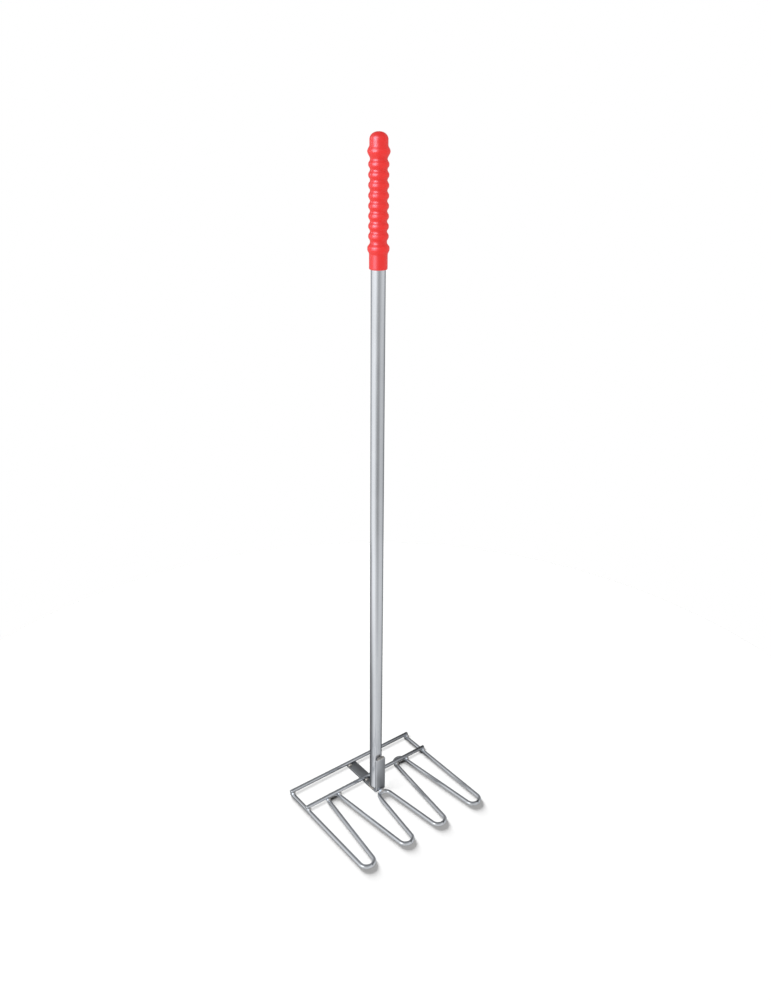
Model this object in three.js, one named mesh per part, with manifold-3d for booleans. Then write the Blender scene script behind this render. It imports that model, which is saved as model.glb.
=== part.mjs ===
// Uncapping fork: a standing beekeeper's fork. A round steel tube carries a ribbed
// push-on grip at its top and a flat wire head at its foot. The head is one wire bent
// into four tines, two round cross bars laid on that wire, and a flat strip that runs
// under both bars, under the tube and up the tube's front.
// Units are millimetres. +Z is up the tube, +X runs along the cross bars and the tines
// point towards -Y. The origin is on the floor, in the middle of the head.

import * as THREE from 'three';
import { mergeVertices } from 'three/addons/utils/BufferGeometryUtils.js';
import Module from 'manifold-3d';

const wasm = await Module();
wasm.setup();

// ---- driving dimensions ------------------------------------------------------

const GAP = 0.25;               // clearance between pieces that touch
const FOOT_GAP = 0.5;           // under the tube, so that its foot clears the strip's bend

const WIRE_R = 2.5;             // tine wire
const WIRE_SIDES = 12;
const OUTER_LEG_X = 99.4;       // straight outermost legs of the wire
const TIP_X = [27.6, 89.6];     // tine centre lines, inner and outer pair
const TIP_Y = -98.7;            // centres of the tip bends, from the tube's axis
const TIP_R = 9.6;              // tip bends, on the wire's centre line
const VALLEY_R = 8.6;           // bends between two tines
const SIDE_VALLEY_X = 58.8;     // valleys under the front bar
const LEFT_VALLEY_Y = 15.0;
const RIGHT_VALLEY_Y = 18.0;    // bent a little deeper than the left one
const CENTRE_VALLEY_Y = -22.9;  // valley that ends in front of the strip
const BEND_STEP = Math.PI / 10; // angle of one straight piece of a bend

const BAR_R = 2.5;              // both cross bars
const BAR_HALF_LENGTH = 102;
const BAR_CHAMFER = 0.5;
const BAR_SIDES = 16;
const REAR_BAR_Y = 56.5;        // from the tube's axis
const FRONT_BAR_Y = 18.7;

const STRIP_WIDTH = 15;
const STRIP_THICK = 3;
const STRIP_X = -0.4;           // welded a little to the left of the tube
const STRIP_FRONT_Y = -12.2;    // outer face of the leg bent up in front of the tube
const STRIP_REAR_Y = 59;
const STRIP_LEG_TOP = 57;
const STRIP_BEND_R = 2;         // inside radius of the bend

const TUBE_R = 8;
const TUBE_WALL = 1.5;
const TUBE_TOP = 832;
const TUBE_SIDES = 32;

const GRIP_BOTTOM = 702.5;
const GRIP_TOP = 839;
const GRIP_SIDES = 24;
const CUFF_R = 9.25;            // plain cuff below the ribs
const RING_LOW = { z: 724.8, r: 11.4 };
const RING_HIGH = { z: 820.4, r: 11.6 };
const RIB_COUNT = 8;
const RIB_FIRST_Z = 737.2;
const RIB_PITCH = 10.1;
const RIB_R = 10.4;
const GROOVE_R = 8.9;
const NECK_R = 9.1;             // straight neck between the top ring and the dome

const BEAD_ROUND = 12;          // facets round a weld bead
const BEAD_RISE = 8;            // and from its bottom to its top

// ---- heights and places that follow ------------------------------------------

const flatOf = (radius, sides) => radius * Math.cos(Math.PI / sides);
const WIRE_Z = flatOf(WIRE_R, WIRE_SIDES);           // the wire lies on its lower facets
const BAR_Z = 2 * WIRE_Z + GAP + BAR_R;
const STRIP_TOP = BAR_Z - BAR_R - GAP;
const TUBE_BOTTOM = STRIP_TOP + FOOT_GAP;
const HEAD_FRONT = TIP_Y - TIP_R - WIRE_R;
const TUBE_AXIS_Y = -(HEAD_FRONT + STRIP_REAR_Y) / 2; // puts the origin mid-head

// ---- materials ---------------------------------------------------------------

const steel = (color, roughness) => (
  new THREE.MeshStandardMaterial({ color, roughness, metalness: 1 })
);
const brightSteel = () => steel(0xc9ccd2, 0.28);
const stripSteel = () => steel(0x85878d, 0.45);
const weldSteel = () => steel(0xb4b6ba, 0.4);
const redPlastic = () => (
  new THREE.MeshStandardMaterial({ color: 0xee3c3c, roughness: 0.4, metalness: 0 })
);

// ---- solid helpers -----------------------------------------------------------

function solidOf(geometry) {
  const bare = geometry.clone();
  bare.deleteAttribute('normal');
  bare.deleteAttribute('uv');
  const merged = mergeVertices(bare, 1e-4);
  return new wasm.Manifold(new wasm.Mesh({
    numProp: 3,
    vertProperties: new Float32Array(merged.attributes.position.array),
    triVerts: new Uint32Array(merged.index.array),
  }));
}

function geometryOf(solid) {
  const mesh = solid.getMesh();
  const geometry = new THREE.BufferGeometry();
  geometry.setAttribute('position', new THREE.BufferAttribute(mesh.vertProperties, 3));
  geometry.setIndex(new THREE.BufferAttribute(mesh.triVerts, 1));
  const faceted = geometry.toNonIndexed();
  faceted.computeVertexNormals();
  return faceted;
}

function polygon(radius, sides) {
  const shape = new THREE.Shape();
  for (let i = 0; i < sides; i += 1) {
    const angle = ((i + 0.5) / sides) * 2 * Math.PI;
    const [x, y] = [radius * Math.cos(angle), radius * Math.sin(angle)];
    if (i === 0) shape.moveTo(x, y);
    else shape.lineTo(x, y);
  }
  shape.closePath();
  return shape;
}

// A path whose extrusion steps fall exactly on the given stations.
class StationPath extends THREE.Curve {
  constructor(stations) {
    super();
    this.stations = stations;
  }

  getPoint(t, target = new THREE.Vector3()) {
    const place = THREE.MathUtils.clamp(t, 0, 1) * (this.stations.length - 1);
    const index = Math.min(Math.floor(place), this.stations.length - 2);
    return target.lerpVectors(this.stations[index], this.stations[index + 1], place - index);
  }

  getUtoTmapping(u) {
    return u;
  }
}

function sweep(radius, sides, stations) {
  return new THREE.ExtrudeGeometry(polygon(radius, sides), {
    steps: stations.length - 1,
    extrudePath: new StationPath(stations),
    bevelEnabled: false,
  });
}

// A lathed solid standing on +Z.
function lathe(profile, sides) {
  const geometry = new THREE.LatheGeometry(profile.map(([r, z]) => new THREE.Vector2(r, z)), sides);
  geometry.rotateX(Math.PI / 2);
  return geometry;
}

// ---- tine wire ---------------------------------------------------------------

// Each bend of the wire: its centre, its radius and which way the wire turns in it
// (+1 anticlockwise seen from above). Tips and valleys follow each other.
const tip = (x) => ({ x, y: TIP_Y, r: TIP_R, turn: 1 });
const valley = (x, y) => ({ x, y, r: VALLEY_R, turn: -1 });
const BENDS = [
  tip(-TIP_X[1]),
  valley(-SIDE_VALLEY_X, LEFT_VALLEY_Y),
  tip(-TIP_X[0]),
  valley(0, CENTRE_VALLEY_Y),
  tip(TIP_X[0]),
  valley(SIDE_VALLEY_X, RIGHT_VALLEY_Y),
  tip(TIP_X[1]),
];

// Direction of the straight leg that leaves bend a and meets bend b, which turn
// opposite ways: the tangent that crosses between the two circles.
function legDirection(a, b) {
  const between = Math.atan2(b.y - a.y, b.x - a.x);
  const lean = Math.asin((a.r + b.r) / Math.hypot(b.x - a.x, b.y - a.y));
  return between + a.turn * lean;
}

function wireStations() {
  const towardsTips = -Math.PI / 2;
  const towardsRear = Math.PI / 2;
  const stations = [new THREE.Vector3(-OUTER_LEG_X, STRIP_REAR_Y, WIRE_Z)];
  BENDS.forEach((bend, i) => {
    const enter = i === 0 ? towardsTips : legDirection(BENDS[i - 1], bend);
    const leave = i === BENDS.length - 1 ? towardsRear : legDirection(bend, BENDS[i + 1]);
    let sweepAngle = (leave - enter) * bend.turn;
    while (sweepAngle < 0) sweepAngle += 2 * Math.PI;
    const steps = Math.ceil(sweepAngle / BEND_STEP);
    for (let k = 0; k <= steps; k += 1) {
      const heading = enter + bend.turn * sweepAngle * (k / steps);
      const side = heading - bend.turn * (Math.PI / 2);
      stations.push(new THREE.Vector3(
        bend.x + bend.r * Math.cos(side),
        bend.y + bend.r * Math.sin(side),
        WIRE_Z,
      ));
    }
  });
  stations.push(new THREE.Vector3(OUTER_LEG_X, STRIP_REAR_Y, WIRE_Z));
  return stations;
}

const tineWire = (radius) => sweep(radius, WIRE_SIDES, wireStations());

// ---- cross bars --------------------------------------------------------------

function crossBar(radius, y) {
  const end = BAR_HALF_LENGTH;
  const geometry = lathe([
    [0, -end],
    [radius - BAR_CHAMFER, -end],
    [radius, -end + BAR_CHAMFER],
    [radius, end - BAR_CHAMFER],
    [radius - BAR_CHAMFER, end],
    [0, end],
  ], BAR_SIDES);
  geometry.rotateY(Math.PI / 2);
  geometry.translate(0, y, BAR_Z);
  return geometry;
}

// ---- bent strip --------------------------------------------------------------

// Side view in Y and Z: flat under the bars, then bent up in front of the tube.
// extra thickens it on every side, for cutting its neighbours.
function bentStrip(extra = 0) {
  const inner = STRIP_BEND_R - extra;
  const outer = STRIP_BEND_R + STRIP_THICK + extra;
  const bendY = STRIP_FRONT_Y + STRIP_THICK + STRIP_BEND_R;
  const bendZ = STRIP_TOP + STRIP_BEND_R;
  const side = new THREE.Shape();
  side.moveTo(STRIP_REAR_Y + extra, STRIP_TOP + extra);
  side.absarc(bendY, bendZ, inner, -Math.PI / 2, -Math.PI, true);
  side.lineTo(bendY - inner, STRIP_LEG_TOP + extra);
  side.lineTo(bendY - outer, STRIP_LEG_TOP + extra);
  side.absarc(bendY, bendZ, outer, Math.PI, 1.5 * Math.PI, false);
  side.lineTo(STRIP_REAR_Y + extra, STRIP_TOP - STRIP_THICK - extra);
  side.closePath();
  const width = STRIP_WIDTH + 2 * extra;
  const geometry = new THREE.ExtrudeGeometry(side, {
    depth: width,
    curveSegments: 6,
    bevelEnabled: false,
  });
  geometry.rotateX(Math.PI / 2);
  geometry.rotateZ(Math.PI / 2);
  geometry.translate(STRIP_X - width / 2, 0, 0);
  return geometry;
}

// ---- tube and grip -----------------------------------------------------------

function shaftTube() {
  const bore = TUBE_R - TUBE_WALL;
  return lathe([
    [bore, TUBE_BOTTOM],
    [TUBE_R, TUBE_BOTTOM],
    [TUBE_R, TUBE_TOP],
    [bore, TUBE_TOP],
    [bore, TUBE_BOTTOM],
  ], TUBE_SIDES);
}

// A round-topped ridge of the grip's outline, from the groove below to the one above.
function ridge(z, radius, base, halfWidth) {
  const steps = 4;
  const points = [];
  for (let k = 0; k <= steps; k += 1) {
    const angle = Math.PI * (k / steps);
    points.push([base + (radius - base) * Math.sin(angle), z - halfWidth * Math.cos(angle)]);
  }
  return points;
}

function gripSleeve() {
  const bore = TUBE_R + GAP;
  const ribHalf = RIB_PITCH * 0.34;
  const ringHalf = RIB_PITCH * 0.42;
  const neckTop = GRIP_TOP - 7;
  const profile = [
    [0, TUBE_TOP + GAP],
    [bore, TUBE_TOP + GAP],
    [bore, GRIP_BOTTOM],
    [CUFF_R - 0.7, GRIP_BOTTOM],
    [CUFF_R, GRIP_BOTTOM + 1],
    [CUFF_R, RING_LOW.z - ringHalf - 2],
    ...ridge(RING_LOW.z, RING_LOW.r, GROOVE_R, ringHalf),
  ];
  for (let i = 0; i < RIB_COUNT; i += 1) {
    profile.push(...ridge(RIB_FIRST_Z + i * RIB_PITCH, RIB_R, GROOVE_R, ribHalf));
  }
  profile.push(...ridge(RING_HIGH.z, RING_HIGH.r, GROOVE_R, ringHalf));
  for (let k = 0; k < 5; k += 1) {
    const angle = (Math.PI / 2) * (k / 5);
    profile.push([NECK_R * Math.cos(angle), neckTop + (GRIP_TOP - neckTop) * Math.sin(angle)]);
  }
  profile.push([0, GRIP_TOP]);
  return lathe(profile, GRIP_SIDES);
}

// ---- weld beads --------------------------------------------------------------

// A rounded lump of weld metal, cut back from the pieces that it joins.
function bead([x, y, z], [rx, ry, rz], cutters) {
  const lump = new THREE.SphereGeometry(1, BEAD_ROUND, BEAD_RISE);
  lump.scale(rx, ry, rz);
  lump.translate(x, y, z);
  return geometryOf(cutters.reduce((solid, cutter) => solid.subtract(cutter), solidOf(lump)));
}

const wireCut = solidOf(tineWire(WIRE_R + GAP));
const frontBarCut = solidOf(crossBar(BAR_R + GAP, FRONT_BAR_Y));
const rearBarCut = solidOf(crossBar(BAR_R + GAP, REAR_BAR_Y));
const stripCut = solidOf(bentStrip(GAP));
const tubeCut = solidOf(new THREE.CylinderGeometry(
  TUBE_R + GAP, TUBE_R + GAP, TUBE_TOP, TUBE_SIDES,
).rotateX(Math.PI / 2).translate(0, 0, TUBE_TOP / 2));

const CROSSING_BEAD = [3.0, 2.4, 2.3]; // half sizes of the lump where wire meets bar
const BEAD_AHEAD = 3.6;                // how far it sits in front of its bar's axis
const CROSSING_Z = 5.4;

// Where the wire passes under the front bar, from left to right.
const valleyFlank = VALLEY_R + 0.6;
const FRONT_CROSSINGS = [
  -OUTER_LEG_X,
  -SIDE_VALLEY_X - valleyFlank,
  -SIDE_VALLEY_X + valleyFlank,
  SIDE_VALLEY_X - valleyFlank,
  SIDE_VALLEY_X + valleyFlank,
  OUTER_LEG_X,
];

const crossingBead = (x, barY, barCut) => (
  bead([x, barY - BEAD_AHEAD, CROSSING_Z], CROSSING_BEAD, [wireCut, barCut])
);

// Bead round the left and rear of the tube's foot, on top of the strip.
function footBead() {
  const radius = 1;
  const arc = TUBE_R + GAP + radius;
  const [from, to, steps] = [Math.PI * 0.55, Math.PI * 1.2, 10];
  const stations = [];
  for (let k = 0; k <= steps; k += 1) {
    const angle = from + (to - from) * (k / steps);
    stations.push(new THREE.Vector3(
      arc * Math.cos(angle),
      arc * Math.sin(angle),
      STRIP_TOP + GAP + radius,
    ));
  }
  return sweep(radius, 8, stations);
}

// ---- assembly ----------------------------------------------------------------

const fork = new THREE.Group();
fork.position.y = TUBE_AXIS_Y;

function add(name, geometry, material) {
  const mesh = new THREE.Mesh(geometry, material);
  mesh.name = name;
  fork.add(mesh);
}

add('grip', gripSleeve(), redPlastic());
add('shaft_tube', shaftTube(), brightSteel());
add('bent_strip', bentStrip(), stripSteel());
add('rear_bar', crossBar(BAR_R, REAR_BAR_Y), brightSteel());
add('front_bar', crossBar(BAR_R, FRONT_BAR_Y), brightSteel());
add('tine_wire', tineWire(WIRE_R), brightSteel());

FRONT_CROSSINGS.forEach((x, i) => {
  add(`weld_front_bar_${i + 1}`, crossingBead(x, FRONT_BAR_Y, frontBarCut), weldSteel());
});
add('weld_rear_bar_left', crossingBead(-OUTER_LEG_X, REAR_BAR_Y, rearBarCut), weldSteel());
add('weld_rear_bar_right', crossingBead(OUTER_LEG_X, REAR_BAR_Y, rearBarCut), weldSteel());
add(
  'weld_strip_rear_bar',
  bead([STRIP_X - 5, REAR_BAR_Y - 3.8, STRIP_TOP + 1.2], [3, 2.4, 2.2], [stripCut, rearBarCut]),
  weldSteel(),
);
add(
  'weld_strip_front_bar',
  bead([STRIP_X - 3.5, FRONT_BAR_Y - 3.8, STRIP_TOP + 1.2], [3, 2.4, 2.2], [stripCut, frontBarCut]),
  weldSteel(),
);
add('weld_tube_foot', footBead(), weldSteel());
add(
  'weld_centre_valley',
  bead([STRIP_X, STRIP_FRONT_Y - 1.6, 5.6], [4, 2.8, 2.8], [stripCut, wireCut]),
  weldSteel(),
);
add(
  'weld_strip_top',
  bead([0, STRIP_FRONT_Y + STRIP_THICK, STRIP_LEG_TOP + 0.8], [5.5, 2, 1.8], [stripCut, tubeCut]),
  weldSteel(),
);

export default fork;
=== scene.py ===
# Looks of the uncapping fork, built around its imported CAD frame.
# Lengths are in metres. +Z is up the tube, +X runs along the cross bars and the tines
# point towards -Y. The fork stands on the flat of its head, on the floor at Z = 0.

import math

import bmesh
import bpy
from mathutils import Matrix, Vector, noise


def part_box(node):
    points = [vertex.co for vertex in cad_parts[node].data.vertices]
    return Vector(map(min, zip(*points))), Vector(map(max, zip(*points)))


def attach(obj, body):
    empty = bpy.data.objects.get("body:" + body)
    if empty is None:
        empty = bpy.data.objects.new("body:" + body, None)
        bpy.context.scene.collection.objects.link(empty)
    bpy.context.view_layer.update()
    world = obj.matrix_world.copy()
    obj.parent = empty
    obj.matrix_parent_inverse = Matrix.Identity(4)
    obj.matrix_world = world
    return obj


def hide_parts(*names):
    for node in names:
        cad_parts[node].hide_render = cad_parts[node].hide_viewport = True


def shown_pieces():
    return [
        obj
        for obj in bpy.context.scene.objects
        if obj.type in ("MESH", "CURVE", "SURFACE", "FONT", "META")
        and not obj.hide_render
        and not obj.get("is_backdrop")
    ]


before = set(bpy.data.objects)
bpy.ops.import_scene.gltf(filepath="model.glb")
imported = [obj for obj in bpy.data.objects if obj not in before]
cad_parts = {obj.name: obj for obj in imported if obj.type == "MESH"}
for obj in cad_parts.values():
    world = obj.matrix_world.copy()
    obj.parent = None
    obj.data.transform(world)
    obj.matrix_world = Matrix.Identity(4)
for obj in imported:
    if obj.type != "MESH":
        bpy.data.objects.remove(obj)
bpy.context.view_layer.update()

MM = 0.001

# ---- sizes -----------------------------------------------------------------------

WIRE_R = 2.5 * MM
WIRE_SIDES = 28
STEP = 2.0 * MM                 # length of one piece of a straight rod or strip
BEND_STEP = math.radians(5)     # angle of one piece of the wire's bends
TIP_R = 9.6 * MM                # bends at the tine tips, on the wire's centre line
VALLEY_R = 8.6 * MM             # bends between two tines
INNER_TIP_X = 27.6 * MM         # from the middle to the tine tips' bend centres
OUTER_TIP_X = 89.6 * MM
SIDE_VALLEY_X = 58.8 * MM       # and to the valleys under the front bar
LEFT_VALLEY_BEHIND = 3.7 * MM   # from the front bar's axis forwards to the bend's centre
RIGHT_VALLEY_BEHIND = 0.7 * MM
CENTRE_VALLEY_AHEAD = 10.7 * MM # from the strip's front face to the bend's centre

BAR_R = 2.5 * MM
BAR_SIDES = 32
END_CHAMFER = 0.45 * MM         # at the cut ends of bars, wire and strip

STRIP_THICK = 3.0 * MM
STRIP_BEND_R = 3.5 * MM         # on the middle of its thickness
STRIP_BEND_STEPS = 14
STRIP_EDGE_R = 0.85 * MM
FLAT_TONE = 0.50              # share of the light steel tone on the strip's flat part, even all over
LEFT_PAINTED_LIGHT = (0.40, 0.85)      # and on its leg's left and right edge, at the foot and the top: painted light up the left of the leg's front, painted shade at its lower right
RIGHT_PAINTED_LIGHT = (0.0, 0.38)

TUBE_R = 8.0 * MM
TUBE_WALL = 1.5 * MM
TUBE_CHAMFER = 0.3 * MM
TUBE_SIDES = 96
TUBE_BANDS = 120

CUFF_R = 9.9 * MM
CUFF_END_RISE = 0.7 * MM        # from the CAD grip's lower end to the visible one
CUFF_EDGE_R = 1.1 * MM
CUFF_EDGE_STEPS = 5
NECK_R = 9.65 * MM
GROOVE_R = 9.05 * MM
RIB_R = 10.8 * MM
RIB_COUNT = 8
RIB_PITCH = 10.1 * MM
FIRST_RIB_RISE = 34.7 * MM      # from the grip's lower end to its first rib
LOW_RING_R = 11.75 * MM
LOW_RING_RISE = 22.3 * MM
HIGH_RING_R = 11.85 * MM
HIGH_RING_DROP = 18.6 * MM      # from the grip's top to the middle of its upper ring
LOW_RING_HALF = 6.4 * MM        # half its height
HIGH_RING_ABOVE = 5.4 * MM      # the upper ring's height above and below its middle
HIGH_RING_BELOW = 6.9 * MM
DOME_HEIGHT = 7.5 * MM
DOME_STEPS = 18
DOME_POWER = 0.9                # below 1, the dome's shoulder is fuller than an ellipse's
POLE_R = 0.02 * MM              # where the outline stops short of the axis
GRIP_FIT = 0.05 * MM            # gap between the grip's bore and the tube
GRIP_MOUTH = 0.4 * MM           # chamfer of its bore
GRIP_SIDES = 112
GRIP_STEP = 0.5 * MM            # height of one band of the grip's outline
SEAM_RISE = 0.12 * MM           # mould line on both sides of the grip
SEAM_HALF_WIDTH = math.radians(1.6)
SEAM_START = 1.0 * MM           # above the grip's lower end

CROSSING_BEAD = (2.8 * MM, 2.3 * MM, 2.2 * MM)  # half sizes along X, Y and Z
CENTRE_VALLEY_BEAD = (4.2 * MM, 3.2 * MM, 2.8 * MM)
STRIP_TOP_BEAD = (6.1 * MM, 2.3 * MM, 1.6 * MM)
STRIP_TOP_BEAD_AHEAD = 0.9 * MM  # from its CAD bead forwards, over the strip's cut end
BEAD_SWELL = 0.09               # unevenness as a share of the bead's size
FOOT_BEAD_R = 1.3 * MM
FOOT_BEAD_OUT = 0.4 * MM        # its middle's distance from the tube and from the strip
FOOT_BEAD_ARC = (math.radians(96), math.radians(220))
FOOT_BEAD_STEPS = 90
FOOT_BEAD_SIDES = 20
RIPPLE_STEPS = 6                # steps from one ripple of the bead to the next

HEAT_REACH = 9.0 * MM           # how far a weld discolours the steel round it

# ---- places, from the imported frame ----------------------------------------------


def centre_of(node):
    """Middle of a CAD node's box."""
    low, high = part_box(node)
    return (low + high) / 2


AXIS = centre_of("shaft_tube")
TUBE_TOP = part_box("shaft_tube")[1].z
GRIP_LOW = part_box("grip")[0].z
GRIP_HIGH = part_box("grip")[1].z
STRIP_LOW, STRIP_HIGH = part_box("bent_strip")
WIRE_LOW, WIRE_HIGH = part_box("tine_wire")
BAR_HALF_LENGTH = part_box("rear_bar")[1].x
REAR_BAR_Y = centre_of("rear_bar").y
FRONT_BAR_Y = centre_of("front_bar").y

WIRE_Z = WIRE_R                 # the wire lies on the floor
BAR_Z = 2 * WIRE_R + BAR_R      # the bars lie on the wire
STRIP_TOP = 2 * WIRE_R          # the strip hangs under the bars
TUBE_FOOT = STRIP_TOP           # the tube stands on the strip
OUTER_LEG_X = WIRE_HIGH.x - WIRE_R
TIP_Y = WIRE_LOW.y + WIRE_R + TIP_R
STRIP_X = (STRIP_LOW.x + STRIP_HIGH.x) / 2
STRIP_WIDTH = STRIP_HIGH.x - STRIP_LOW.x

WELD_NODES = [name for name in sorted(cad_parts) if name.startswith("weld_")]
WELD_PLACES = [centre_of(name) for name in WELD_NODES]

# ---- mesh helpers ----------------------------------------------------------------


def heat_at(point):
    """1 beside a weld, falling to 0 at HEAT_REACH from it."""
    nearest = min((point - place).length for place in WELD_PLACES)
    return max(0.0, 1.0 - nearest / HEAT_REACH)


def piece(name, points, faces, grain, material, sharp_angle=40):
    """A mesh piece. grain holds each point's place in the stock before it was bent:
    x along the rolling or drawing direction, y and z across it."""
    mesh = bpy.data.meshes.new(name)
    mesh.from_pydata([tuple(p) for p in points], [], faces)
    mesh.validate()
    attribute = mesh.attributes.new("grain", "FLOAT_VECTOR", "POINT")
    attribute.data.foreach_set("vector", [c for g in grain for c in g])
    heat = mesh.attributes.new("heat", "FLOAT", "POINT")
    heat.data.foreach_set("value", [heat_at(Vector(p)) for p in points])
    mesh.materials.append(material)
    shape = bmesh.new()
    shape.from_mesh(mesh)
    bmesh.ops.recalc_face_normals(shape, faces=shape.faces)
    shape.to_mesh(mesh)
    shape.free()
    mesh.shade_smooth()
    mesh.set_sharp_from_angle(angle=math.radians(sharp_angle))
    obj = bpy.data.objects.new(name, mesh)
    bpy.context.scene.collection.objects.link(obj)
    return obj


def store(obj, name, values):
    """Stores a number at each point of a mesh, for its material."""
    attribute = obj.data.attributes.new(name, "FLOAT", "POINT")
    attribute.data.foreach_set("value", values)


def place_piece(obj, node):
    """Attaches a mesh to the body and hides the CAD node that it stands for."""
    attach(obj, "root")
    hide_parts(node)


def ring_faces(rings, sides):
    """Quads between consecutive rings of points, and one face over each end."""
    faces = []
    for ring in range(rings - 1):
        for side in range(sides):
            after = (side + 1) % sides
            faces.append((
                ring * sides + side,
                ring * sides + after,
                (ring + 1) * sides + after,
                (ring + 1) * sides + side,
            ))
    faces.append(tuple(range(sides)))
    faces.append(tuple((rings - 1) * sides + side for side in range(sides)))
    return faces


def sweep(stations, section):
    """Points, faces and grain of a section swept along stations. A station is
    (place, across, up, scale), and section lists (across, up) in metres."""
    points, grain = [], []
    travelled = 0.0
    before = stations[0][0]
    for place, across, up, scale in stations:
        travelled += (place - before).length
        before = place
        for a, u in section:
            points.append(place + across * (a * scale) + up * (u * scale))
            grain.append((travelled, a * scale, u * scale))
    return points, ring_faces(len(stations), len(section)), grain


def angles_round(sides):
    return [2 * math.pi * i / sides for i in range(sides)]


def circle_section(radius, sides):
    return [(radius * math.cos(a), radius * math.sin(a)) for a in angles_round(sides)]


def rounded_section(width, height, corner, steps=4):
    """A rectangle with rounded corners."""
    section = []
    for quarter, (sx, sy) in enumerate([(1, 1), (-1, 1), (-1, -1), (1, -1)]):
        for step in range(steps + 1):
            angle = (quarter + step / steps) * math.pi / 2
            section.append((
                sx * (width / 2 - corner) + corner * math.cos(angle),
                sy * (height / 2 - corner) + corner * math.sin(angle),
            ))
    return section


def chamfered_ends(stations, radius):
    """Adds the cut ends of a rod: its first and last station, each with a small chamfer."""
    smaller = (radius - END_CHAMFER) / radius
    first, last = stations[0], stations[-1]
    inwards_first = (stations[1][0] - first[0]).normalized() * END_CHAMFER
    inwards_last = (stations[-2][0] - last[0]).normalized() * END_CHAMFER
    return (
        [(first[0], first[1], first[2], smaller)]
        + [(first[0] + inwards_first, first[1], first[2], 1.0)]
        + stations[1:-1]
        + [(last[0] + inwards_last, last[1], last[2], 1.0)]
        + [(last[0], last[1], last[2], smaller)]
    )


def lathe(profile, angles, bulge=None):
    """Turns a closed profile of (radius, z) round the tube's axis. bulge(radius, z, angle)
    gives what is added to the radius there."""
    points, grain, faces = [], [], []
    for radius, z in profile:
        for angle in angles:
            r = radius + (bulge(radius, z, angle) if bulge else 0.0)
            x, y = r * math.cos(angle), r * math.sin(angle)
            points.append(Vector((AXIS.x + x, AXIS.y + y, z)))
            grain.append((z, x, y))
    sides, rings = len(angles), len(profile)
    for ring in range(rings):
        for side in range(sides):
            after = (side + 1) % sides
            above = (ring + 1) % rings
            faces.append((
                ring * sides + side,
                ring * sides + after,
                above * sides + after,
                above * sides + side,
            ))
    return points, faces, grain


# ---- material helpers ------------------------------------------------------------


def new_material(name):
    material = bpy.data.materials.new(name)
    material.use_nodes = True
    nodes = material.node_tree.nodes
    return material, nodes, material.node_tree.links, nodes["Principled BSDF"]


def attribute_value(nodes, name):
    """A number that the mesh stores at each point."""
    node = nodes.new("ShaderNodeAttribute")
    node.attribute_name = name
    return node.outputs["Fac"]


def stretched_noise(nodes, links, scale, detail):
    """Noise over the grain coordinate. scale is features per metre along and across it."""
    source = nodes.new("ShaderNodeAttribute")
    source.attribute_name = "grain"
    stretch = nodes.new("ShaderNodeMapping")
    stretch.inputs["Scale"].default_value = scale
    texture = nodes.new("ShaderNodeTexNoise")
    texture.inputs["Scale"].default_value = 1.0
    texture.inputs["Detail"].default_value = detail
    links.new(source.outputs["Vector"], stretch.inputs["Vector"])
    links.new(stretch.outputs["Vector"], texture.inputs["Vector"])
    return texture.outputs["Fac"]


def remap(nodes, links, value, from_low, from_high, to_low=0.0, to_high=1.0):
    """A straight rise between two levels, and level outside them."""
    node = nodes.new("ShaderNodeMapRange")
    node.inputs["From Min"].default_value = from_low
    node.inputs["From Max"].default_value = from_high
    node.inputs["To Min"].default_value = to_low
    node.inputs["To Max"].default_value = to_high
    links.new(value, node.inputs["Value"])
    return node.outputs["Result"]


def mix_colours(nodes, links, factor, low, high):
    """A blend of two colours, each a tuple or another node's output."""
    node = nodes.new("ShaderNodeMix")
    node.data_type = "RGBA"
    links.new(factor, node.inputs["Factor"])
    colour_inputs = [s for s in node.inputs if s.type == "RGBA"]
    for socket, colour in zip(colour_inputs, (low, high)):
        if isinstance(colour, tuple):
            socket.default_value = (*colour, 1.0)
        else:
            links.new(colour, socket)
    return [s for s in node.outputs if s.type == "RGBA"][0]


def calculate(nodes, links, operation, first, second):
    """Arithmetic on two values, each a number or another node's output."""
    node = nodes.new("ShaderNodeMath")
    node.operation = operation
    for socket, value in zip(node.inputs, (first, second)):
        if isinstance(value, (int, float)):
            socket.default_value = value
        else:
            links.new(value, socket)
    return node.outputs["Value"]


def add_bump(nodes, links, shader, height, distance, strength):
    bump = nodes.new("ShaderNodeBump")
    bump.inputs["Distance"].default_value = distance
    bump.inputs["Strength"].default_value = strength
    links.new(height, bump.inputs["Height"])
    links.new(bump.outputs["Normal"], shader.inputs["Normal"])


# ---- materials -------------------------------------------------------------------

EDGE_TINT = (0.92, 0.96, 1.05)  # tint of what steel reflects at a grazing angle

LINES_ALONG = 9.0               # noise features per metre of the stock, in its length
DRAWN_LINES = 2600.0            # and across it
ROLLED_LINES = 1500.0
CLOUD_SCALE = (26.0, 60.0, 60.0)
MARK_SCALE = (900.0, 260.0, 260.0)
MARK_LEVELS = (0.66, 0.72)      # noise between which a scratch begins and is full
HEAT_LEVELS = (0.15, 0.55)      # and a heat tint
HEAT_TINT = (0.74, 0.68, 0.62)  # times the steel's dark colour
HEAT_SHARE = 0.5
# light steel tone, mixed in for the strip's even tone and for the painted light, painted shade
# and painted highlights on its leg
BRIGHT_STEEL_TONE = (0.62, 0.64, 0.67)
DENT_SHARE = 0.25               # depth of a scratch, in depths of a line
STEEL_BUMP = 0.2                # strength of the steel's bump

LUMP_SCALE = (900.0,) * 3
SCALE_PATCHES = (420.0,) * 3
WELD_DARK = (0.36, 0.35, 0.335)
WELD_LIGHT = (0.60, 0.575, 0.54)
WELD_ROUGHNESS = (0.60, 0.44)   # of its dark and its light patches
LUMP_DEPTH = 0.10 * MM
WELD_BUMP = 0.4

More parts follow.
